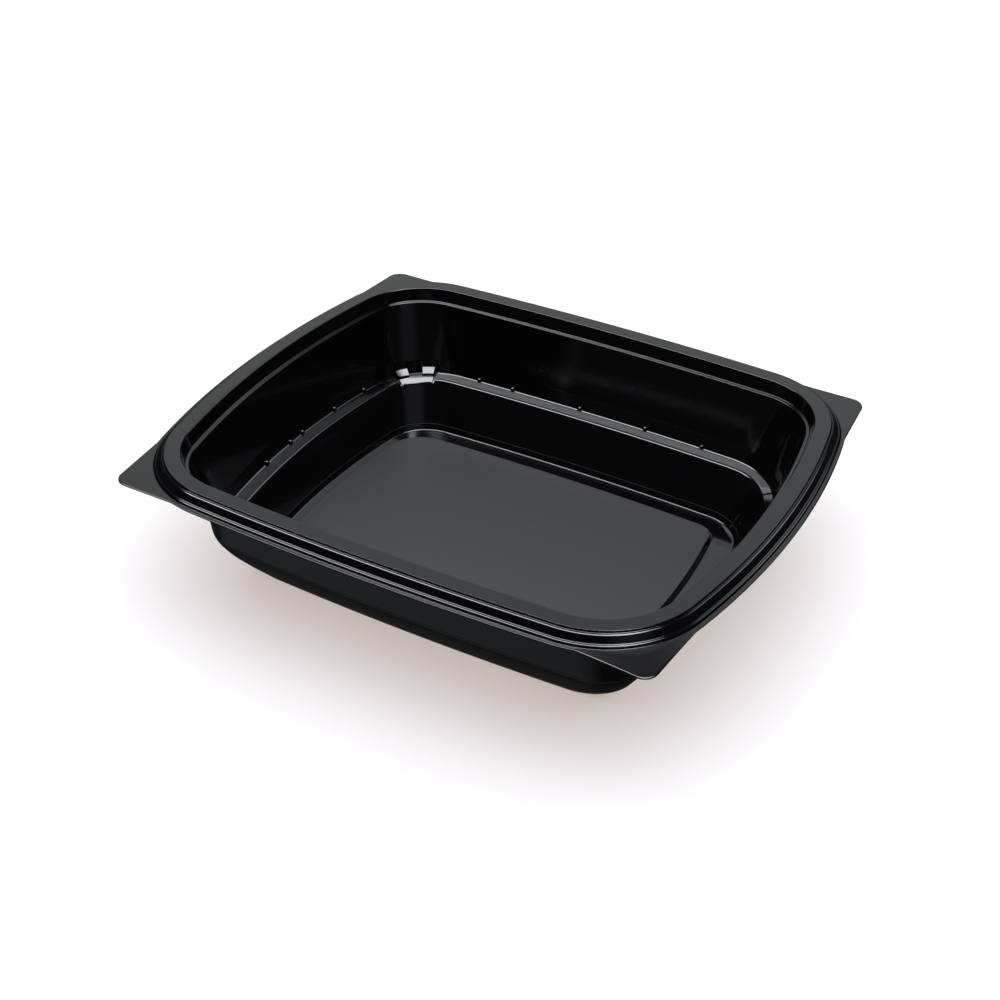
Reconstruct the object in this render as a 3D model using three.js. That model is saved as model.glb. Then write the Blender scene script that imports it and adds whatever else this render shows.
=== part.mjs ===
// Rectangular meal tray, thermoformed from one sheet of black plastic.
// Bowed rim with corner tabs, a seal step, a stacking ledge, and a raised floor inside a foot ring.
// Millimetres, +Z up, +X along the tray. The origin is under the middle of the tray, on the table.
import * as THREE from 'three';

// ---------- driving dimensions ----------
const RIM_LENGTH = 210.0;       // over the rim, end to end, at mid width
const RIM_WIDTH = 172.6;        // over the rim, side to side, at mid length
const HEIGHT = 50.0;            // table to rim top
const SHEET = 0.8;              // thickness of the formed sheet
const END_BOW_RADIUS = 281.6;   // the ends bulge strongly
const SIDE_BOW_RADIUS = 1196.0; // the long sides bulge a little
const RIM_CORNER = 35.7;        // corner radius of the rim, seen from above

const FLANGE_DROP = 4.1;        // rim top down to the flange and the tabs
const FLANGE_ROOT = 2.5;        // the flange starts this far outside the rim
const FLANGE_REACH = 3.8;       // and stands out this far beyond it along the sides
const TAB_LENGTH = 199.6;       // over the tabs along X, at their tips
const TAB_WIDTH = 173.8;        // over the tabs along Y
const TAB_TIP_RADIUS = 5.0;
const TAB_LEAN = 0.09;          // the tabs' outer edges lean this much towards their tips
const TAB_REACH = 14.0;         // from the flange's edge to a tab's tip, along the diagonal
const FRONT_RIGHT_TAB_DROOP = 2.0; // that tab is bent down a little at its tip

const LEDGE_INSET = 21.3;       // rim edge to the inner edge of the stacking ledge
const LEDGE_HEIGHT = 17.6;
const LEDGE_WIDTH = 4.4;
const LEDGE_SLOPE = 1.3;        // its outer edge lies this much higher
const LUG_RISE = 1.9;           // stacking lugs either side of each corner notch

const FOOT_INSET = 28.9;        // rim edge to the foot of the wall, inside
const FOOT_SIDE_EXTRA = 2.3;    // the long sides come in this much further there
const PANEL_INSET = 36.0;       // rim edge to the edge of the raised floor panel
const PANEL_SIDE_EXTRA = 3.9;
const PANEL_RISE = 2.2;         // raised panel above the channel round it
const PANEL_SHIFT = -2.5;       // the panel sits this far off the middle, towards the left end
const RISER_RUN = 1.1;          // the riser leans out this much

// ---------- columns of the faceted surface, per quarter of the tray ----------
const END_STEPS = 4;
const SIDE_STEPS = 2;
const LAST_LUG_TURN = 16.4;
// Half a corner: turn from its diagonal in degrees, and the form of the ledge there.
const HALF_CORNER = [
  [0, 'gap'], [2.4, 'gap'], [4.6, 'gap'], [5.6, 'gap'],
  [6.3, 'lug'], [11.5, 'lug'], [LAST_LUG_TURN, 'lug'],
  [17.0, 'gap'], [18.4, 'gap'],
  [19.0, 'side'], [25.0, 'side'], [32.0, 'side'], [38.7, 'side'],
];
const CORNER_SPAN = 2 * HALF_CORNER[HALF_CORNER.length - 1][0];
const CORNER = [
  ...HALF_CORNER.map(([turn, place]) => ({ share: 0.5 - turn / CORNER_SPAN, place })).reverse(),
  ...HALF_CORNER.slice(1).map(([turn, place]) => ({ share: 0.5 + turn / CORNER_SPAN, place })),
];
const QUARTER_STEPS = END_STEPS + CORNER.length - 1 + SIDE_STEPS;
const COLUMNS = 4 * QUARTER_STEPS;

const HALF_PI = Math.PI / 2;

// One quarter of a bowed rectangle: end arc, corner arc and side arc, tangent to each other.
// inset is measured inwards from the rim's edge, extra is added to it along the long sides,
// and corner is the radius of the corner arc.
function quarterContour(inset, corner, extra) {
  const endRadius = END_BOW_RADIUS - inset;
  const sideRadius = SIDE_BOW_RADIUS - inset - extra;
  const endCentre = new THREE.Vector2(RIM_LENGTH / 2 - END_BOW_RADIUS, 0);
  const sideCentre = new THREE.Vector2(0, RIM_WIDTH / 2 - SIDE_BOW_RADIUS);
  const cornerCentre = tangentCentre(endCentre, endRadius - corner, sideCentre, sideRadius - corner);
  const startAngle = cornerCentre.clone().sub(endCentre).angle();
  const stopAngle = cornerCentre.clone().sub(sideCentre).angle();
  const points = [];
  for (let k = 0; k < END_STEPS; k++) {
    points.push(polar(endCentre, endRadius, (startAngle * k) / END_STEPS));
  }
  for (const { share } of CORNER) {
    points.push(polar(cornerCentre, corner, startAngle + (stopAngle - startAngle) * share));
  }
  for (let k = 1; k <= SIDE_STEPS; k++) {
    points.push(polar(sideCentre, sideRadius, stopAngle + ((HALF_PI - stopAngle) * k) / SIDE_STEPS));
  }
  return points;
}

// The point at distance p from a and q from b that lies furthest out in the first quarter.
function tangentCentre(a, p, b, q) {
  const between = b.clone().sub(a);
  const span = between.length();
  const along = (p * p - q * q + span * span) / (2 * span);
  const across = Math.sqrt(p * p - along * along);
  const unit = between.divideScalar(span);
  const foot = a.clone().addScaledVector(unit, along);
  const normal = new THREE.Vector2(-unit.y, unit.x);
  const first = foot.clone().addScaledVector(normal, across);
  const second = foot.clone().addScaledVector(normal, -across);
  return first.x + first.y > second.x + second.y ? first : second;
}

function polar(centre, radius, angle) {
  return new THREE.Vector2(
    centre.x + radius * Math.cos(angle),
    centre.y + radius * Math.sin(angle),
  );
}

// The whole closed contour of a station, anticlockwise from the middle of the +X end.
// left is the corner radius at the two corners of the -X end, where it differs.
function contour({ inset, corner, extra = 0, left = corner, shift = 0 }) {
  const right = quarterContour(inset, corner, extra);
  const other = left === corner ? right : quarterContour(inset, left, extra);
  const points = [];
  for (let column = 0; column < COLUMNS; column++) {
    const { index, signX, signY } = mirrored(column);
    const point = (signX > 0 ? right : other)[index];
    points.push(new THREE.Vector2(signX * point.x + shift, signY * point.y));
  }
  return points;
}

// Each column of the full round uses one column of the first quarter, mirrored.
function mirrored(column) {
  const turn = Math.floor(column / QUARTER_STEPS);
  const step = column % QUARTER_STEPS;
  const index = turn % 2 === 0 ? step : QUARTER_STEPS - step;
  return {
    index,
    signX: turn === 0 || turn === 3 ? 1 : -1,
    signY: turn < 2 ? 1 : -1,
  };
}

// The form of the ledge at a column: 'side', or 'lug' and 'gap' round a corner. The corners of
// the +X end have no lugs: there the ledge runs on to one gap, beside the end wall.
function placeOf(column) {
  const { index, signX } = mirrored(column);
  const step = index - END_STEPS;
  if (step < 0 || step >= CORNER.length) return 'side';
  const { share, place } = CORNER[step];
  const besideEnd = share < 0.5 - LAST_LUG_TURN / CORNER_SPAN;
  return signX < 0 || besideEnd ? place : 'side';
}

// ---------- the section through the wall ----------
// Stations from the middle outwards: inset, height and corner radius.
const PANEL = SHEET + PANEL_RISE;
const PANEL_PLAN = { extra: PANEL_SIDE_EXTRA, shift: PANEL_SHIFT };

// Raised floor panel and its riser down into the channel.
const FLOOR = [
  { inset: PANEL_INSET, z: PANEL, corner: 6, left: 15, ...PANEL_PLAN },
  { inset: PANEL_INSET - RISER_RUN, z: SHEET, corner: 7, left: 16, ...PANEL_PLAN },
];

const RISER_EASE = 0.85;        // the panel's edge is eased this near to its top

// Foot of the wall, seen from inside.
const FOOT = [
  { inset: FOOT_INSET, z: SHEET, corner: 17.5, extra: FOOT_SIDE_EXTRA },
  { inset: FOOT_INSET - 0.9, z: SHEET + 0.8, corner: 18.2, extra: FOOT_SIDE_EXTRA },
];

// The upper wall, from above the ledge to under the seal step.
const UPPER_WALL = [
  { inset: 15.2, z: 23.6, corner: 28.4 },
  { inset: 10.2, z: HEIGHT - 5.6, corner: 24 },
];

// Seal step, rim top, shoulder, outer wall and the lip above the flange.
const RIM = [
  { inset: 9.8, z: HEIGHT - 5.0, corner: 23.5 },
  { inset: 8.6, z: HEIGHT - 4.8, corner: 25 },
  { inset: 6.9, z: HEIGHT, corner: RIM_CORNER - 6.9 },
  { inset: 1.2, z: HEIGHT, corner: RIM_CORNER - 1.2 },
  { inset: 0.9, z: HEIGHT - 0.7, corner: RIM_CORNER - 0.9 },
  { inset: 0.0, z: HEIGHT - 0.9, corner: RIM_CORNER },
  { inset: -1.2, z: HEIGHT - 3.1, corner: RIM_CORNER + 1.2 },
  { inset: -2.2, z: HEIGHT - 3.3, corner: RIM_CORNER + 2.2 },
  { inset: -FLANGE_ROOT, z: HEIGHT - FLANGE_DROP, corner: RIM_CORNER + FLANGE_ROOT },
];
const SEAL_EASE = 0.14;         // the foot of the seal face is eased this far down
const SHOULDER_EDGES = [3, 4];  // stations of the rim whose small step doesn't show underneath

// Outside of the wall, from the table up to under the rim. It is one smooth curve that doesn't
// follow the ledge inside.
const OUTSIDE = [
  { inset: 29.0, z: 0.0, corner: 17.5 },
  { inset: 27.9, z: 0.4, corner: 17.0 },
  { inset: 26.8, z: 1.9, corner: 14.0 },
  { inset: 24.2, z: 5.0, corner: 13.0 },
  { inset: 20.4, z: 10.0, corner: 11.0 },
  { inset: 15.9, z: 17.0, corner: 15.0 },
  { inset: 14.5, z: 23.0, corner: 19.5 },
  { inset: 12.7, z: 30.0, corner: 21.8 },
];

// The stacking ledge along a side, in a gap and at a lug.
function ledge(place) {
  const outer = LEDGE_INSET - LEDGE_WIDTH;
  const top = LEDGE_HEIGHT + LEDGE_SLOPE;
  if (place === 'side') {
    return [
      { inset: LEDGE_INSET + 0.5, z: LEDGE_HEIGHT - 0.8, corner: 20.8 },
      { inset: LEDGE_INSET, z: LEDGE_HEIGHT, corner: 21 },
      { inset: LEDGE_INSET - 2.9, z: LEDGE_HEIGHT + 0.85, corner: 25 },
      { inset: outer, z: top, corner: 28.2 },
      { inset: outer - 0.8, z: top + 1.0, corner: 28.5 },
    ];
  }
  const rise = place === 'lug' ? LUG_RISE : 0;
  const floor = LEDGE_HEIGHT + 0.6 + rise / 2;
  return [
    { inset: LEDGE_INSET + 0.8, z: LEDGE_HEIGHT - 1.9, corner: 20.6 },
    { inset: LEDGE_INSET, z: LEDGE_HEIGHT - 0.9, corner: 21 },
    { inset: LEDGE_INSET - 3.0, z: floor, corner: 25 },
    { inset: outer - 0.4 - rise / 4, z: floor + 0.75 * rise, corner: 28.4 },
    { inset: outer - 0.9 - rise / 4, z: top + 1.1 + rise / 2, corner: 28.5 },
  ];
}

// The upper face of one column, from the floor's middle to the flange.
function upperSection(column) {
  return [
    FLOOR[0],
    between(FLOOR[0], FLOOR[1], RISER_EASE),
    FLOOR[1],
    ...FOOT,
    ...ledge(placeOf(column)),
    ...UPPER_WALL,
    RIM[0],
    RIM[1],
    between(RIM[1], RIM[2], SEAL_EASE),
    ...RIM.slice(2),
  ];
}

// A station on the way between two others, which keeps this share of the first.
function between(from, to, share) {
  const mix = (name) => share * from[name] + (1 - share) * to[name];
  const mixed = { ...from, inset: mix('inset'), z: mix('z'), corner: mix('corner') };
  if (from.left) mixed.left = mix('left');
  return mixed;
}

// The lower face of every column: floor and rim moved through the sheet, square to the surface,
// and the smooth outside of the wall between them.
function lowerSection() {
  const floor = FLOOR.map((station, k) => (
    throughSheet(station, FLOOR[k - 1] ?? null, FLOOR[k + 1] ?? FOOT[0])
  ));
  const rim = RIM.map((station, k) => (
    throughSheet(station, RIM[k - 1] ?? UPPER_WALL[0], RIM[k + 1] ?? null)
  ));
  return [...floor, ...OUTSIDE, ...rim.filter((_, k) => !SHOULDER_EDGES.includes(k))];
}

// A station moved through the sheet, along the mitre of its two runs. A missing one is level.
function throughSheet(station, before, after) {
  const level = new THREE.Vector2(1, 0);
  const arriving = before ? run(before, station) : level;
  const leaving = after ? run(station, after) : level;
  const mitre = 1 + arriving.dot(leaving);
  const outward = (SHEET * (arriving.y + leaving.y)) / mitre;
  const down = (SHEET * (arriving.x + leaving.x)) / mitre;
  const moved = { ...station, inset: station.inset - outward, z: station.z - down };
  moved.corner = station.corner + outward;
  if (station.left) moved.left = station.left + outward;
  return moved;
}

// Unit direction from one station to the next: x is outwards, y is up.
function run(from, to) {
  return new THREE.Vector2(from.inset - to.inset, to.z - from.z).normalize();
}

// ---------- flange and corner tabs ----------
// Distance from a point on the flange's root, along its outward normal, to the flange's edge.
// Near a corner the edge is the tab's: an end line and a side line joined by a rounded tip.
function edgeReach(root, normal) {
  const start = new THREE.Vector2(Math.abs(root.x), Math.abs(root.y));
  const course = new THREE.Vector2(Math.abs(normal.x), Math.abs(normal.y));
  const endNormal = new THREE.Vector2(1, TAB_LEAN).normalize();
  const sideNormal = new THREE.Vector2(0, 1);
  const tip = new THREE.Vector2(TAB_LENGTH / 2, TAB_WIDTH / 2);
  const toEnd = lineDistance(start, course, endNormal, endNormal.dot(tip));
  const toSide = lineDistance(start, course, sideNormal, sideNormal.dot(tip));
  const straight = Math.min(toEnd, toSide);
  const centre = tipCentre(tip, endNormal);
  const hit = start.clone().addScaledVector(course, straight).sub(centre);
  const inTip = endNormal.cross(hit) > 0 && hit.cross(sideNormal) > 0;
  const reach = inTip ? circleDistance(start, course, centre, TAB_TIP_RADIUS) : straight;
  return Math.max(reach, FLANGE_REACH - FLANGE_ROOT);
}

// Along a course from start to the line whose points p have normal . p = level.
function lineDistance(start, course, normal, level) {
  const closing = normal.dot(course);
  return closing > 1e-6 ? (level - normal.dot(start)) / closing : Infinity;
}

// Along a course from a start inside or below a circle to its far side.
function circleDistance(start, course, centre, radius) {
  const offset = start.clone().sub(centre);
  const along = offset.dot(course);
  return -along + Math.sqrt(along * along - offset.lengthSq() + radius * radius);
}

// The centre of the round tip, touching the end line and the side line from inside.
function tipCentre(tip, endNormal) {
  const y = tip.y - TAB_TIP_RADIUS;
  const x = (endNormal.dot(tip) - TAB_TIP_RADIUS - endNormal.y * y) / endNormal.x;
  return new THREE.Vector2(x, y);
}

// Rings of the flange's upper face, from its root out to its edge.
const FLANGE_SHARES = [0.5, 1.0];

function flangeRings() {
  const root = contour({ inset: -FLANGE_ROOT, corner: RIM_CORNER + FLANGE_ROOT });
  const beside = contour({ inset: -FLANGE_ROOT - 1, corner: RIM_CORNER + FLANGE_ROOT + 1 });
  const plain = FLANGE_REACH - FLANGE_ROOT;
  return FLANGE_SHARES.map((share) => root.map((point, column) => {
    const normal = beside[column].clone().sub(point).normalize();
    const reach = edgeReach(point, normal);
    const bent = point.x > 0 && point.y < 0 ? (reach - plain) / TAB_REACH : 0;
    return new THREE.Vector3(
      point.x + normal.x * reach * share,
      point.y + normal.y * reach * share,
      HEIGHT - FLANGE_DROP - FRONT_RIGHT_TAB_DROOP * bent * share * share,
    );
  }));
}

// ---------- the closed surface ----------
// Rings made by taking the same station of every column's section.
function ringsFrom(sections) {
  const count = sections[0].length;
  const rings = [];
  for (let level = 0; level < count; level++) {
    const contours = new Map();
    rings.push(sections.map((section, column) => {
      const station = section[level];
      const key = `${station.inset}/${station.corner}`;
      if (!contours.has(key)) contours.set(key, contour(station));
      const { x, y } = contours.get(key)[column];
      return new THREE.Vector3(x, y, station.z);
    }));
  }
  return rings;
}

// Join the rings into one closed surface, with a fan over the floor above and below.
function closedSurface(rings) {
  const positions = [];
  const indices = [];
  for (const ring of rings) {
    for (const point of ring) positions.push(point.x, point.y, point.z);
  }
  for (let level = 0; level + 1 < rings.length; level++) {
    for (let column = 0; column < COLUMNS; column++) {
      const next = (column + 1) % COLUMNS;
      const a = level * COLUMNS + column;
      const b = level * COLUMNS + next;
      const c = (level + 1) * COLUMNS + next;
      const d = (level + 1) * COLUMNS + column;
      indices.push(a, c, b, a, d, c);
    }
  }
  const topCentre = rings.length * COLUMNS;
  const bottomCentre = topCentre + 1;
  const lastRing = (rings.length - 1) * COLUMNS;
  positions.push(0, 0, rings[0][0].z, 0, 0, rings[rings.length - 1][0].z);
  for (let column = 0; column < COLUMNS; column++) {
    const next = (column + 1) % COLUMNS;
    indices.push(topCentre, column, next);
    indices.push(bottomCentre, lastRing + next, lastRing + column);
  }
  const geometry = new THREE.BufferGeometry();
  geometry.setAttribute('position', new THREE.Float32BufferAttribute(positions, 3));
  geometry.setIndex(indices);
  geometry.computeVertexNormals();
  return geometry;
}

function trayGeometry() {
  const columns = Array.from({ length: COLUMNS }, (_, column) => column);
  const upper = columns.map(upperSection);
  const underside = lowerSection().reverse();
  const lower = columns.map(() => underside);
  const flange = flangeRings();
  const flangeBelow = flange.map((ring) => ring.map((point) => (
    new THREE.Vector3(point.x, point.y, point.z - SHEET)
  ))).reverse();
  return closedSurface([...ringsFrom(upper), ...flange, ...flangeBelow, ...ringsFrom(lower)]);
}

const blackPlastic = new THREE.MeshStandardMaterial({
  color: 0x17181a,
  roughness: 0.3,
  metalness: 0.0,
});

const tray = new THREE.Mesh(trayGeometry(), blackPlastic);
tray.name = 'tray';

const part = new THREE.Group();
part.name = 'meal_tray';
part.add(tray);

export default part;
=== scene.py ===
"""A black thermoformed meal tray on a pale floor in soft studio light.

Laid out as an add-on and run as a script. Sections and outlines are in millimetres, as the
tray's drawing would have them, and turned to metres where a mesh is made.
"""
import math
from functools import lru_cache
from typing import NamedTuple

import bpy
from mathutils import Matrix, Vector


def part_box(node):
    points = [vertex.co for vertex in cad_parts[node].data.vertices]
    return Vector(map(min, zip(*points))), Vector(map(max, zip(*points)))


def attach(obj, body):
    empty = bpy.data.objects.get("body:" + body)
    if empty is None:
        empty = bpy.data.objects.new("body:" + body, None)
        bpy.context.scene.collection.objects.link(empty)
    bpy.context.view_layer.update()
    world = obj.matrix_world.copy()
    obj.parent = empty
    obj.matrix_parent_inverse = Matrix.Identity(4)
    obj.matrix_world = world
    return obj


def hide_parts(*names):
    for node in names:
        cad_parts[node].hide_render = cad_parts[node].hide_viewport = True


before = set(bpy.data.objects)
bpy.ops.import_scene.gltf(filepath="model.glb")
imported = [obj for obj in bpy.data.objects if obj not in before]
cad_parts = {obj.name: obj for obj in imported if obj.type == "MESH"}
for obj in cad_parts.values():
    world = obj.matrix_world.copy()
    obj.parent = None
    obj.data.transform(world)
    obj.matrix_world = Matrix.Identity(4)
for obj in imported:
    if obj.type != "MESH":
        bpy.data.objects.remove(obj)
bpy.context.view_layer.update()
TRAY_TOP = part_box("tray")[1].z

bl_info = {
    "name": "Meal Tray",
    "version": (1, 0, 0),
    "blender": (4, 5, 0),
    "location": "3D View > Sidebar > Meal Tray",
    "description": "Forms a black plastic meal tray and sets it in soft studio light",
    "category": "Object",
}

MM = 0.001                # metres in a millimetre
HALF_TURN = math.pi


# ---------------------------------------------------------------- sizes and colours
class TraySizes(bpy.types.PropertyGroup):
    """Driving sizes of the tray."""

    rim_length: bpy.props.FloatProperty(
        name="Rim length", description="Over the rim at mid width",
        default=0.2100, unit="LENGTH", precision=4)
    rim_width: bpy.props.FloatProperty(
        name="Rim width", description="Over the rim at mid length",
        default=0.1726, unit="LENGTH", precision=4)
    height: bpy.props.FloatProperty(
        name="Height", description="From the table to the top of the rim",
        default=TRAY_TOP, unit="LENGTH", precision=4)
    sheet: bpy.props.FloatProperty(
        name="Sheet", description="Thickness of the formed sheet",
        default=0.0008, unit="LENGTH", precision=4)
    end_bow: bpy.props.FloatProperty(
        name="End bow", description="Radius to which the short ends bulge",
        default=0.2816, unit="LENGTH", precision=4)
    side_bow: bpy.props.FloatProperty(
        name="Side bow", description="Radius to which the long sides bulge",
        default=1.196, unit="LENGTH", precision=4)
    rim_corner: bpy.props.FloatProperty(
        name="Rim corner", description="Corner radius of the rim, seen from above",
        default=0.0357, unit="LENGTH", precision=4)
    tab_length: bpy.props.FloatProperty(
        name="Tab length", description="Over the corner tabs at their tips, along the tray",
        default=0.1996, unit="LENGTH", precision=4)
    tab_width: bpy.props.FloatProperty(
        name="Tab width", description="Over the corner tabs, across the tray",
        default=0.1738, unit="LENGTH", precision=4)
    tab_droop: bpy.props.FloatProperty(
        name="Tab droop", description="How far the front right tab is bent down at its tip",
        default=0.0020, unit="LENGTH", precision=4)


class TrayLooks(bpy.types.PropertyGroup):
    """Colours and gloss of the sheet."""

    plastic: bpy.props.StringProperty(
        name="Plastic", description="Colour of the black sheet, as a hex value",
        default="#040405")
    floor_sheen: bpy.props.StringProperty(
        name="Floor sheen", description="Colour that the satin floor scatters, as a hex value",
        default="#111213")
    wall_roughness: bpy.props.FloatProperty(
        name="Wall roughness", description="Roughness of the polished walls and rim",
        default=0.09, min=0, max=1, subtype="FACTOR")
    floor_roughness: bpy.props.FloatProperty(
        name="Floor roughness", description="Roughness of the satin floor",
        default=0.55, min=0, max=1, subtype="FACTOR")


class StageSettings(bpy.types.PropertyGroup):
    """Floor, light and camera."""

    floor_colour: bpy.props.StringProperty(
        name="Table", description="Colour of the table top, as a hex value", default="#a8aeb4")
    table_glow: bpy.props.FloatProperty(
        name="Table glow", description="How strongly the table top is lit from below",
        default=0.47, min=0)
    key_radiance: bpy.props.FloatProperty(
        name="Key", description="Brightness of the softboxes that the plastic mirrors",
        default=15.0, min=0)
    fill_radiance: bpy.props.FloatProperty(
        name="Fill", description="Brightness of the wide scrim that casts the soft shadow",
        default=2.4, min=0)
    lens: bpy.props.FloatProperty(
        name="Lens", description="Focal length on a 36 mm sensor",
        default=62.4, unit="CAMERA")
    azimuth: bpy.props.FloatProperty(
        name="Azimuth", description="Camera angle round the tray, from straight in front",
        default=math.radians(30.22), subtype="ANGLE")
    elevation: bpy.props.FloatProperty(
        name="Elevation", description="Camera angle above the horizon",
        default=math.radians(34.94), subtype="ANGLE")
    place: bpy.props.FloatVectorProperty(
        name="Camera place", description="Where the camera stands",
        default=(0.25273, -0.43517, 0.37216), subtype="TRANSLATION", precision=4)


# ---------------------------------------------------------------- the section through the wall
class Corner(NamedTuple):
    """A corner of the section, in millimetres."""

    inset: float          # from the rim's edge, inwards
    z: float
    radius: float         # of the tray's four corners at this level, seen from above
    setback: float        # of the rounding, along the section
    extra: float = 0.0    # the long sides come in this much further
    left_more: float = 0.0    # the corners of the left end are this much rounder
    shift: float = 0.0    # the whole level sits this far off the middle, along the tray


PLACES = ("side", "cut", "gap", "lug")
ROUNDING_STEPS = 4        # facets in each rounded corner
HOLDING_GAP = 0.12        # a line this far beyond each rounding keeps the flats flat
FLANGE_ROOT = 2.5         # the flange starts this far outside the rim
FLANGE_REACH = 3.8        # and ends this far outside it along the sides
FLANGE_DROP = 4.1         # below the rim's top
TAB_TIP_RADIUS = 5.0
TAB_LEAN = 0.09           # the tabs' outer edges lean this much towards their tips
TAB_REACH = 14.0          # from the flange's edge to a tab's tip
PANEL_RISE = 2.2          # the floor panel above the channel round it
PANEL_SHIFT = -2.5        # the panel sits this far towards the left end
PANEL_INSIDE = 3.0        # the section starts this far inside the panel's edge
FLANGE_BEYOND = 10.0      # and runs on towards a point this far outside the rim
MITRE_SETBACK = 0.2       # the most that a corner under the sheet is rounded


def floor_corners(sheet):
    """Raised panel, its riser down into the channel, and the foot of the wall."""
    return [
        Corner(36.0, sheet + PANEL_RISE, 6.0, 0.35, 3.9, 9.0, PANEL_SHIFT),
        Corner(34.9, sheet, 7.0, 0.25, 3.9, 9.0, PANEL_SHIFT),
        Corner(28.9, sheet, 17.5, 0.50, 2.3),
        Corner(23.4, 13.0, 20.0, 0.30, 0.6),
    ]


LEDGE = {
    "side": [
        Corner(21.3, 17.6, 21.0, 0.60),
        Corner(19.6, 18.1, 23.4, 0.15),
        Corner(18.4, 18.45, 25.0, 0.15),
        Corner(16.8, 18.9, 28.2, 0.80),
    ],
    "cut": [
        Corner(21.6, 16.5, 21.0, 0.80),
        Corner(19.0, 17.7, 24.4, 0.15),
        Corner(18.5, 17.8, 25.0, 0.15),
        Corner(16.7, 17.8, 28.4, 0.35),
    ],
    "gap": [
        Corner(21.6, 16.6, 21.0, 0.80),
        Corner(19.0, 18.2, 24.4, 0.15),
        Corner(18.5, 18.45, 25.0, 0.20),
        Corner(16.5, 18.4, 28.4, 0.35),
    ],
    "lug": [
        Corner(21.6, 16.6, 21.0, 0.80),
        Corner(19.0, 18.2, 24.4, 0.12),
        Corner(18.75, 19.1, 24.7, 0.20),
        Corner(15.95, 21.0, 28.4, 0.30),
    ],
}


def rim_corners(height, corner):
    """Upper wall, seal step, rim top, shoulder, outer wall and lip, down to the flange."""
    return [
        Corner(15.2, 23.6, 28.4, 0.30),
        Corner(9.8, height - 5.0, 23.5, 0.30),
        Corner(8.6, height - 4.8, 25.0, 0.25),
        Corner(6.9, height, 28.8, 0.40),
        Corner(1.3, height, corner - 1.3, 0.14),
        Corner(1.0, height - 0.7, corner - 1.0, 0.14),
        Corner(0.0, height - 0.9, corner, 0.50),
        Corner(-1.2, height - 3.1, corner + 1.2, 0.25),
        Corner(-2.2, height - 3.3, corner + 2.2, 0.42),
        Corner(-FLANGE_ROOT, height - FLANGE_DROP, corner + FLANGE_ROOT, 0.15),
    ]


# Outside of the wall, from the table up to under the rim: one smooth curve.
OUTSIDE = [
    Corner(29.0, 0.0, 17.5, 0.40),
    Corner(27.9, 0.4, 17.0, 0.40),
    Corner(26.8, 1.9, 14.0, 0.60),
    Corner(24.2, 5.0, 13.0, 1.50),
    Corner(20.4, 10.0, 11.0, 2.40),
    Corner(15.9, 17.0, 15.0, 2.60),
    Corner(14.5, 23.0, 19.5, 2.40),
    Corner(12.7, 30.0, 21.8, 2.40),
]
SHARP_BELOW = (1.3, 1.0)  # insets whose small step doesn't show on the lower face


def upper_corners(sizes, place):
    """The whole upper face at one place round the tray."""
    floor = floor_corners(sizes["sheet"])
    return floor + LEDGE[place] + rim_corners(sizes["height"], sizes["rim_corner"])


def lower_corners(sizes, place):
    """The lower face: floor and rim moved through the sheet, with the outside between them."""
    floor = floor_corners(sizes["sheet"])
    rim = rim_corners(sizes["height"], sizes["rim_corner"])
    under_floor = [through_sheet(sizes, None, floor[0], floor[1]),
                   through_sheet(sizes, floor[0], floor[1], floor[2])]
    under_rim = [
        through_sheet(sizes, before, here, after)
        for before, here, after in zip(rim, rim[1:], [*rim[2:], None])
        if here.inset not in SHARP_BELOW
    ]
    return under_floor + OUTSIDE + under_rim


def through_sheet(sizes, before, here, after):
    """A corner moved through the sheet along its mitre; a missing neighbour is level."""
    arriving = run(before, here) if before else (1.0, 0.0)
    leaving = run(here, after) if after else (1.0, 0.0)
    mitre = 1 + arriving[0] * leaving[0] + arriving[1] * leaving[1]
    outward = sizes["sheet"] * (arriving[1] + leaving[1]) / mitre
    down = sizes["sheet"] * (arriving[0] + leaving[0]) / mitre
    return here._replace(inset=here.inset - outward, z=here.z - down,
                         radius=here.radius + outward, setback=min(here.setback, MITRE_SETBACK))


def run(start, end):
    """Unit direction from one corner to the next: outwards, up."""
    out, up = start.inset - end.inset, end.z - start.z
    length = math.hypot(out, up)
    return out / length, up / length


def along(start, end, distance):
    """The point of the section this far from one corner towards another."""
    t = distance / math.hypot(start.inset - end.inset, end.z - start.z)
    return Corner(*((1 - t) * a + t * b for a, b in zip(start, end)))


def rounded(corners, first, last):
    """Stations along the section with every corner rounded."""
    whole = [first, *corners, last]
    stations = []
    for before, here, after in zip(whole, whole[1:], whole[2:]):
        start, end = along(here, before, here.setback), along(here, after, here.setback)
        stations.append(along(here, before, here.setback + HOLDING_GAP))
        for step in range(ROUNDING_STEPS + 1):
            t = step / ROUNDING_STEPS
            stations.append(Corner(*(
                (1 - t) ** 2 * a + 2 * t * (1 - t) * b + t * t * c
                for a, b, c in zip(start, here, end)
            )))
        stations.append(along(here, after, here.setback + HOLDING_GAP))
    return stations


# ---------------------------------------------------------------- the outline seen from above
# Columns round one corner, as turns from its diagonal in degrees: (place on the ledge, from,
# to, steps). Columns are close where the lugs' ends and the tab's tip need them.
CORNER_HALF_SPAN = 38.7
CORNER_STRETCHES = [
    ("gap", 0.0, 5.8, 7),
    ("lug", 6.4, 16.2, 6),
    ("cut", 16.7, 18.3, 2),
    ("side", 18.8, CORNER_HALF_SPAN, 9),
]
END_STEPS = 10            # columns along half an end
SIDE_STEPS = 6            # columns along half a long side


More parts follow.
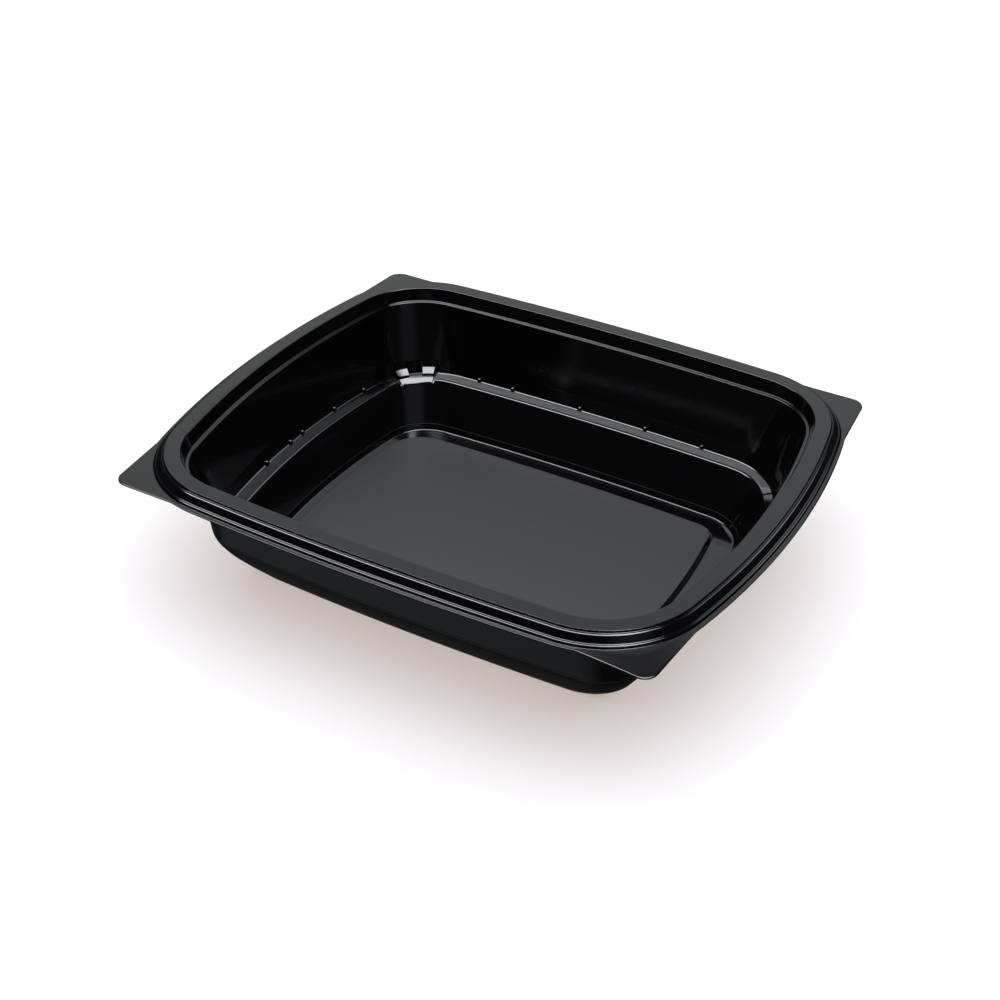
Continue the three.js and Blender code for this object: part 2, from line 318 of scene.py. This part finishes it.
def quarter_columns():
    """Columns of the first quarter, from the middle of the end: (stretch, share, ledge place)."""
    half = []
    for place, start, stop, steps in CORNER_STRETCHES:
        for k in range(steps + 1):
            turn = start + (stop - start) * k / steps
            half.append((turn / (2 * CORNER_HALF_SPAN), place))
    corner = [("corner", 0.5 - turn, place) for turn, place in reversed(half)]
    corner += [("corner", 0.5 + turn, place) for turn, place in half[1:]]
    end = [("end", k / END_STEPS, "side") for k in range(END_STEPS)]
    side = [("side", k / SIDE_STEPS, "side") for k in range(1, SIDE_STEPS + 1)]
    return end + corner + side


def all_columns():
    """Every column, anticlockwise, as (sign of x, sign of y, quarter column)."""
    quarter = quarter_columns()
    there, back = quarter[:-1], quarter[:0:-1]
    turns = [(1, 1, there), (-1, 1, back), (-1, -1, there), (1, -1, back)]
    return [(sx, sy, settled(sx, column)) for sx, sy, run_of in turns for column in run_of]


def settled(sx, column):
    """The right end's corners have no lugs: the ledge runs on to one cut beside the end."""
    stretch, share, place = column
    if sx < 0 or (place == "cut" and share < 0.5):
        return column
    return stretch, share, "side"


def polar(centre, radius, angle):
    """The point at an angle on a circle."""
    return centre[0] + radius * math.cos(angle), centre[1] + radius * math.sin(angle)


@lru_cache(maxsize=None)
def level_arcs(length, width, end_bow, side_bow, inset, corner, extra):
    """End, corner and side arcs of one level: (centre, radius, first angle, last angle)."""
    end_centre, end_radius = (length / 2 - end_bow, 0.0), end_bow - inset
    side_centre, side_radius = (0.0, width / 2 - side_bow), side_bow - inset - extra
    span = math.dist(end_centre, side_centre)
    reach_end, reach_side = end_radius - corner, side_radius - corner
    along_span = (reach_end ** 2 - reach_side ** 2 + span ** 2) / (2 * span)
    across = math.sqrt(reach_end ** 2 - along_span ** 2)
    ux = (side_centre[0] - end_centre[0]) / span
    uy = (side_centre[1] - end_centre[1]) / span
    foot = end_centre[0] + ux * along_span, end_centre[1] + uy * along_span
    centres = [(foot[0] - uy * s, foot[1] + ux * s) for s in (across, -across)]
    centre = max(centres, key=sum)
    start = math.atan2(centre[1] - end_centre[1], centre[0] - end_centre[0])
    stop = math.atan2(centre[1] - side_centre[1], centre[0] - side_centre[0])
    return {
        "end": (end_centre, end_radius, 0.0, start),
        "corner": (centre, corner, start, stop),
        "side": (side_centre, side_radius, stop, HALF_TURN / 2),
    }


def level_point(sizes, level, column):
    """A column's point on one level of the section and the outward normal there."""
    sx, sy, (stretch, share, _) = column
    corner = level.radius + (level.left_more if sx < 0 else 0.0)
    arcs = level_arcs(sizes["rim_length"], sizes["rim_width"], sizes["end_bow"],
                      sizes["side_bow"], round(level.inset, 4), round(corner, 4),
                      round(level.extra, 4))
    centre, radius, start, stop = arcs[stretch]
    angle = start + (stop - start) * share
    x, y = polar(centre, radius, angle)
    return (sx * x + level.shift, sy * y), (sx * math.cos(angle), sy * math.sin(angle))


def edge_reach(sizes, point, normal):
    """How far the flange or its tab stands out from the flange's root at one column."""
    x, y = abs(point[0]), abs(point[1])
    nx, ny = abs(normal[0]), abs(normal[1])
    tip = sizes["tab_length"] / 2, sizes["tab_width"] / 2
    size = math.hypot(1, TAB_LEAN)
    ex, ey = 1 / size, TAB_LEAN / size          # square to the tab's outer edge
    edge = ex * tip[0] + ey * tip[1]
    to_end = (edge - ex * x - ey * y) / (ex * nx + ey * ny)
    to_side = (tip[1] - y) / ny if ny > 1e-6 else math.inf
    reach = min(to_end, to_side)
    cy = tip[1] - TAB_TIP_RADIUS                # centre of the rounded tip
    cx = (edge - TAB_TIP_RADIUS - ey * cy) / ex
    hx, hy = x + nx * reach - cx, y + ny * reach - cy
    if ex * hy - ey * hx > 0 and hx > 0:
        ox, oy = x - cx, y - cy
        ahead = ox * nx + oy * ny
        reach = -ahead + math.sqrt(ahead ** 2 - ox ** 2 - oy ** 2 + TAB_TIP_RADIUS ** 2)
    return max(reach, FLANGE_REACH - FLANGE_ROOT)


# ---------------------------------------------------------------- the tray's mesh
FLANGE_SHARES = (0.3, 0.65)      # extra lines across the flange and its tabs
EDGE_ROUND = 0.22                # the cut edge is broken by this much
SMOOTH_BELOW = math.radians(38)  # faces that meet at less than this shade as one


def section_rings(sizes, columns, corners_of, first, last):
    """Closed rings of points, one for each station of the section."""
    sections = {place: rounded(corners_of(sizes, place), first, last) for place in PLACES}
    rings = []
    for level in range(len(sections["side"])):
        ring = []
        for column in columns:
            station = sections[column[2][2]][level]
            (x, y), _ = level_point(sizes, station, column)
            ring.append((x, y, station.z))
        rings.append(ring)
    return rings


def flange_rings(sizes, columns):
    """Rings over the flange and tabs, round the cut edge and back underneath."""
    top = sizes["height"] - FLANGE_DROP
    rim_edge = Corner(-FLANGE_ROOT, top, sizes["rim_corner"] + FLANGE_ROOT, 0.0)
    path = [(share, 0.0, 0.0) for share in FLANGE_SHARES]
    path += [
        (1.0, -EDGE_ROUND - HOLDING_GAP, 0.0),
        (1.0, -EDGE_ROUND, 0.0),
        (1.0, -EDGE_ROUND * 0.3, -EDGE_ROUND * 0.3),
        (1.0, 0.0, -EDGE_ROUND),
        (1.0, 0.0, -sizes["sheet"] + EDGE_ROUND),
        (1.0, -EDGE_ROUND, -sizes["sheet"]),
    ]
    path += [(share, 0.0, -sizes["sheet"]) for share in reversed(FLANGE_SHARES)]
    rings = []
    for share, inward, down in path:
        ring = []
        for column in columns:
            root, normal = level_point(sizes, rim_edge, column)
            reach = edge_reach(sizes, root, normal)
            out = reach * share + inward
            plain = FLANGE_REACH - FLANGE_ROOT
            bent = (reach - plain) / TAB_REACH if root[0] > 0 and root[1] < 0 else 0.0
            droop = sizes["tab_droop"] * bent * out / reach
            ring.append((root[0] + normal[0] * out, root[1] + normal[1] * out,
                         top + down - droop))
        rings.append(ring)
    return rings


def mesh_from_rings(name, rings):
    """One closed mesh from closed rings of equal length, with a flat face over each end."""
    count = len(rings[0])
    points = [Vector(p) * MM for ring in rings for p in ring]
    faces = []
    for level in range(len(rings) - 1):
        low, high = level * count, (level + 1) * count
        for k in range(count):
            n = (k + 1) % count
            faces.append((low + k, high + k, high + n, low + n))
    last = (len(rings) - 1) * count
    faces.append(tuple(range(count)))
    faces.append(tuple(range(last + count - 1, last - 1, -1)))
    mesh = bpy.data.meshes.new(name)
    mesh.from_pydata(points, [], faces)
    piece = bpy.data.objects.new(name, mesh)
    bpy.context.scene.collection.objects.link(piece)
    return piece


# Nubs at the foot of the upper wall, on the ledge, that keep nested trays apart. Places are
# millimetres from the middle: along the long sides, and along the ends.
SIDE_NUBS = (-50.0, -35.2, -5.8, 22.2, 46.0)
END_NUBS = (-21.2, -5.4, 2.3, 22.1, 39.3)
NUB_RADIUS = 1.0
NUB_INSET = 16.8
NUB_HEIGHT = 19.3
NUB_SEGMENTS, NUB_RINGS = 16, 10


def nub_places(sizes):
    """Where the nubs sit: both long sides and both ends."""
    side = sizes["side_bow"] - NUB_INSET
    end = sizes["end_bow"] - NUB_INSET
    side_middle = sizes["rim_width"] / 2 - sizes["side_bow"]
    end_middle = sizes["rim_length"] / 2 - sizes["end_bow"]
    places = [(x, side_middle + math.sqrt(side ** 2 - x ** 2)) for x in SIDE_NUBS]
    places += [(x, -y) for x, y in places]
    ends = [(end_middle + math.sqrt(end ** 2 - y ** 2), y) for y in END_NUBS]
    return places + ends + [(-x, y) for x, y in ends]


def add_nubs(tray, sizes):
    """Half-sunk beads joined to the tray."""
    beads = []
    for x, y in nub_places(sizes):
        bpy.ops.mesh.primitive_uv_sphere_add(
            segments=NUB_SEGMENTS, ring_count=NUB_RINGS, radius=NUB_RADIUS * MM,
            location=(x * MM, y * MM, NUB_HEIGHT * MM))
        beads.append(bpy.context.active_object)
    select_only(tray)
    for bead in beads:
        bead.select_set(True)
    bpy.ops.object.join()


def select_only(piece):
    """Select one piece and make it the active one."""
    bpy.ops.object.select_all(action="DESELECT")
    piece.select_set(True)
    bpy.context.view_layer.objects.active = piece


def in_millimetres(group):
    """The sizes of a property group in millimetres."""
    return {name: getattr(group, name) / MM for name in group.__annotations__}


class TRAY_OT_form_tray(bpy.types.Operator):
    """Form the tray's sheet: floor, walls, ledge, rim, flange and tabs"""

    bl_idname = "tray.form_tray"
    bl_label = "Form tray"

    def execute(self, context):
        sizes = in_millimetres(context.scene.tray_sizes)
        columns = all_columns()
        panel = floor_corners(sizes["sheet"])[0]
        middle = panel._replace(inset=panel.inset + PANEL_INSIDE)
        beyond = Corner(-FLANGE_BEYOND, sizes["height"] - FLANGE_DROP,
                        sizes["rim_corner"] + FLANGE_BEYOND, 0.0)
        under_middle = middle._replace(z=middle.z - sizes["sheet"])
        under_beyond = beyond._replace(z=beyond.z - sizes["sheet"])
        upper = section_rings(sizes, columns, upper_corners, middle, beyond)
        lower = section_rings(sizes, columns, lower_corners, under_middle, under_beyond)
        rings = upper + flange_rings(sizes, columns) + lower[::-1]
        tray = mesh_from_rings("meal_tray", rings)
        select_only(tray)
        bpy.ops.object.mode_set(mode="EDIT")
        bpy.ops.mesh.select_all(action="SELECT")
        bpy.ops.mesh.normals_make_consistent(inside=False)
        bpy.ops.object.mode_set(mode="OBJECT")
        add_nubs(tray, sizes)
        bpy.ops.object.shade_smooth_by_angle(angle=SMOOTH_BELOW)
        tray.data.materials.append(thermoformed_plastic(context.scene.tray_looks))
        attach(tray, "root")
        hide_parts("tray")
        return {"FINISHED"}


# ---------------------------------------------------------------- materials
# Heights of the satin flats in millimetres: start, full, fading, end.
SATIN_PANEL = (2.90, 2.98, 3.02, 3.2)
SATIN_CHANNEL = (0.6, 0.7, 0.82, 0.88)
SATIN_LEDGE = (17.8, 17.95, 18.6, 18.75)
# Distances from the lengthwise middle at which a flat starts and ends to be satin.
CHANNEL_FADES = (42.0, 38.0)
LEDGE_FADES = (56.0, 60.0)
PEEL_SIZE = 7.0           # orange peel of a formed sheet, millimetres across
PEEL_DEPTH = 0.10
PEEL_STRENGTH = 0.10
PLASTIC_IOR = 1.49
TABLE_ROUGHNESS = 0.9
TABLE_GLOW = "#ffece0"


def linear(hex_colour):
    """An sRGB hex value as linear red, green, blue and full alpha."""
    channels = [int(hex_colour[i:i + 2], 16) / 255 for i in (1, 3, 5)]
    return tuple(
        c / 12.92 if c <= 0.04045 else ((c + 0.055) / 1.055) ** 2.4 for c in channels
    ) + (1.0,)


def add_node(tree, kind, settings=None, **links):
    """A node with its settings, and its inputs set to a value or linked from a socket."""
    node = tree.nodes.new(kind)
    for name, value in (settings or {}).items():
        setattr(node, name, value)
    for name, value in links.items():
        socket = node.inputs[int(name[1:])] if name[0] == "i" and name[1:].isdigit() \
            else node.inputs[name.replace("_", " ")]
        if isinstance(value, bpy.types.NodeSocket):
            tree.links.new(value, socket)
        else:
            socket.default_value = value
    return node


def new_material(name):
    """An empty node material and its tree."""
    material = bpy.data.materials.new(name)
    material.use_nodes = True
    tree = material.node_tree
    tree.nodes.clear()
    return material, tree


def thermoformed_plastic(looks):
    """Black polypropylene sheet, vacuum formed: mirror-like walls and rim, a satin floor."""
    material, tree = new_material("black_polypropylene_sheet")
    place = add_node(tree, "ShaderNodeTexCoord").outputs["Object"]
    apart = add_node(tree, "ShaderNodeSeparateXYZ", i0=place)
    z, y = apart.outputs["Z"], apart.outputs["Y"]
    # The panel, the channel at the ends and the long ledges took a satin face from the mould.
    # The rest stayed polished: risers, walls, rim and the channel along the long sides.
    across = maths(tree, "ABSOLUTE", y)
    panel = band(tree, z, SATIN_PANEL)
    channel = band(tree, z, SATIN_CHANNEL)
    end_channel = maths(tree, "MULTIPLY", channel, ramp(tree, across, *in_metres(CHANNEL_FADES)))
    ledge = band(tree, z, SATIN_LEDGE)
    long_ledge = maths(tree, "MULTIPLY", ledge, ramp(tree, across, *in_metres(LEDGE_FADES)))
    satin = maths(tree, "MAXIMUM", maths(tree, "MAXIMUM", panel, end_channel), long_ledge)
    roughness = add_node(
        tree, "ShaderNodeMapRange", Value=satin, From_Min=0.0, From_Max=1.0,
        To_Min=looks.wall_roughness, To_Max=looks.floor_roughness,
    ).outputs[0]
    colour = add_node(
        tree, "ShaderNodeMix", {"data_type": "RGBA"}, i0=satin,
        i6=linear(looks.plastic), i7=linear(looks.floor_sheen),
    ).outputs[2]
    peel = add_node(
        tree, "ShaderNodeTexNoise", Vector=place, Scale=1 / (PEEL_SIZE * MM), Detail=2.0)
    peel_bump = add_node(
        tree, "ShaderNodeBump", Height=peel.outputs[0], Strength=PEEL_STRENGTH,
        Distance=PEEL_DEPTH * MM)
    shader = add_node(
        tree, "ShaderNodeBsdfPrincipled", Base_Color=colour, Roughness=roughness,
        IOR=PLASTIC_IOR, Normal=peel_bump.outputs[0])
    add_node(tree, "ShaderNodeOutputMaterial", Surface=shader.outputs[0])
    return material


def maths(tree, operation, first, second=0.0):
    """One sum on one or two values."""
    return add_node(
        tree, "ShaderNodeMath", {"operation": operation}, i0=first, i1=second).outputs[0]


def ramp(tree, value, start, stop):
    """0 at start and 1 at stop, eased."""
    return add_node(
        tree, "ShaderNodeMapRange", {"interpolation_type": "SMOOTHSTEP"},
        Value=value, From_Min=start, From_Max=stop, To_Min=0.0, To_Max=1.0,
    ).outputs[0]


def in_metres(lengths):
    """Lengths that are given in millimetres."""
    return [length * MM for length in lengths]


def band(tree, value, edges):
    """1 between full and fading, 0 outside start and end, all in millimetres."""
    start, full, fading, end = in_metres(edges)
    rising, falling = ramp(tree, value, start, full), ramp(tree, value, end, fading)
    return maths(tree, "MULTIPLY", rising, falling)


def lit_table(colour, glow):
    """A pale table top of opal acrylic, matt and lit a little from below."""
    material, tree = new_material("opal_acrylic_table")
    shader = add_node(
        tree, "ShaderNodeBsdfPrincipled", Base_Color=linear(colour),
        Roughness=TABLE_ROUGHNESS, Emission_Color=linear(TABLE_GLOW), Emission_Strength=glow)
    add_node(tree, "ShaderNodeOutputMaterial", Surface=shader.outputs[0])
    return material


# ---------------------------------------------------------------- stage
FLOOR_SIZE = 60.0
# Softboxes that the plastic mirrors, each with its size and place.
KEY_SOFTBOXES = [
    ((1.40, 0.38), (-0.25, -0.09, 1.0)),
    ((0.35, 0.25), (0.15, 0.20, 1.0)),
]
FILL_SCRIM = (3.0, 2.6), (0.0, 0.05, 1.05)      # casts the soft shadow and isn't mirrored
LAMP_TONE = (0.96, 0.99, 1.04)
SURROUND_DARK = 0.025
REFLECTOR_TONE = "#f4faff"
# Pale reflectors: direction from the tray, brightness, half angles of full and no light.
REFLECTORS = [
    (Vector((-0.40, 0.76, 0.50)), 0.88, 8, 31),
    (Vector((-0.41, -0.60, -0.68)), 0.13, 15, 45),
    (Vector((0.73, -0.48, 0.45)), 0.16, 10, 25),
    (Vector((0.22, 0.68, 0.69)), 2.4, 5, 11),
    (Vector((0.38, 0.77, 0.49)), 2.4, 6, 13),
]


def studio_surround(scene):
    """A dark studio with a few pale reflectors round the tray."""
    world = bpy.data.worlds.new("studio_surround")
    world.use_nodes = True
    tree = world.node_tree
    tree.nodes.clear()
    way = add_node(tree, "ShaderNodeTexCoord").outputs["Generated"]
    brightness = SURROUND_DARK
    for direction, level, full, none in REFLECTORS:
        facing = add_node(
            tree, "ShaderNodeVectorMath", {"operation": "DOT_PRODUCT"}, i0=way,
            i1=direction.normalized(),
        ).outputs["Value"]
        share = ramp(tree, facing, math.cos(math.radians(none)), math.cos(math.radians(full)))
        brightness = add_node(
            tree, "ShaderNodeMath", {"operation": "MULTIPLY_ADD"}, i0=share, i1=level,
            i2=brightness).outputs[0]
    light = add_node(
        tree, "ShaderNodeBackground", Color=linear(REFLECTOR_TONE), Strength=brightness)
    add_node(tree, "ShaderNodeOutputWorld", Surface=light.outputs[0])
    scene.world = world


def hang_lamp(name, size, place, radiance):
    """A flat lamp that faces straight down."""
    lamp = bpy.data.lights.new(name, "AREA")
    lamp.shape = "RECTANGLE"
    lamp.size, lamp.size_y = size
    lamp.energy = radiance * math.pi * lamp.size * lamp.size_y
    lamp.color = LAMP_TONE
    hung = bpy.data.objects.new(name, lamp)
    hung.location = place
    bpy.context.scene.collection.objects.link(hung)
    return hung


class TRAY_OT_set_stage(bpy.types.Operator):
    """Lay the pale floor, hang the lamps and place the camera"""

    bl_idname = "tray.set_stage"
    bl_label = "Set stage"

    def execute(self, context):
        settings = context.scene.tray_stage
        bpy.ops.object.select_all(action="DESELECT")
        bpy.ops.mesh.primitive_plane_add(size=FLOOR_SIZE, location=(0, 0, 0))
        floor = context.active_object
        floor.name = "studio_floor"
        floor.data.materials.append(lit_table(settings.floor_colour, settings.table_glow))
        floor.visible_glossy = False
        studio_surround(context.scene)
        for size, place in KEY_SOFTBOXES:
            key = hang_lamp("key_softbox", size, place, settings.key_radiance)
            key.visible_diffuse = False
        fill = hang_lamp("fill_scrim", *FILL_SCRIM, settings.fill_radiance)
        fill.visible_glossy = False
        lens = bpy.data.cameras.new("photo_camera")
        lens.lens = settings.lens
        camera = bpy.data.objects.new("photo_camera", lens)
        camera.location = settings.place
        camera.rotation_euler = (HALF_TURN / 2 - settings.elevation, 0, settings.azimuth)
        context.scene.collection.objects.link(camera)
        context.scene.camera = camera
        context.scene.view_settings.view_transform = "Standard"
        return {"FINISHED"}


# ---------------------------------------------------------------- the add-on
class TRAY_PT_sidebar(bpy.types.Panel):
    """Sizes, colours and steps of the meal tray"""

    bl_label = "Meal Tray"
    bl_idname = "TRAY_PT_sidebar"
    bl_space_type = "VIEW_3D"
    bl_region_type = "UI"
    bl_category = "Meal Tray"

    def draw(self, context):
        scene = context.scene
        for group in (scene.tray_sizes, scene.tray_looks, scene.tray_stage):
            box = self.layout.box()
            for name in group.__annotations__:
                box.prop(group, name)
        self.layout.operator(TRAY_OT_form_tray.bl_idname)
        self.layout.operator(TRAY_OT_set_stage.bl_idname)


CLASSES = (TraySizes, TrayLooks, StageSettings, TRAY_OT_form_tray, TRAY_OT_set_stage,
           TRAY_PT_sidebar)


def register():
    """Add the classes and their settings to Blender."""
    for cls in CLASSES:
        bpy.utils.register_class(cls)
    bpy.types.Scene.tray_sizes = bpy.props.PointerProperty(type=TraySizes)
    bpy.types.Scene.tray_looks = bpy.props.PointerProperty(type=TrayLooks)
    bpy.types.Scene.tray_stage = bpy.props.PointerProperty(type=StageSettings)


def unregister():
    """Take them out again."""
    del bpy.types.Scene.tray_stage
    del bpy.types.Scene.tray_looks
    del bpy.types.Scene.tray_sizes
    for cls in reversed(CLASSES):
        bpy.utils.unregister_class(cls)


def main():
    """Run every step in order."""
    register()
    bpy.ops.tray.form_tray()
    bpy.ops.tray.set_stage()


if __name__ == "__main__":
    main()
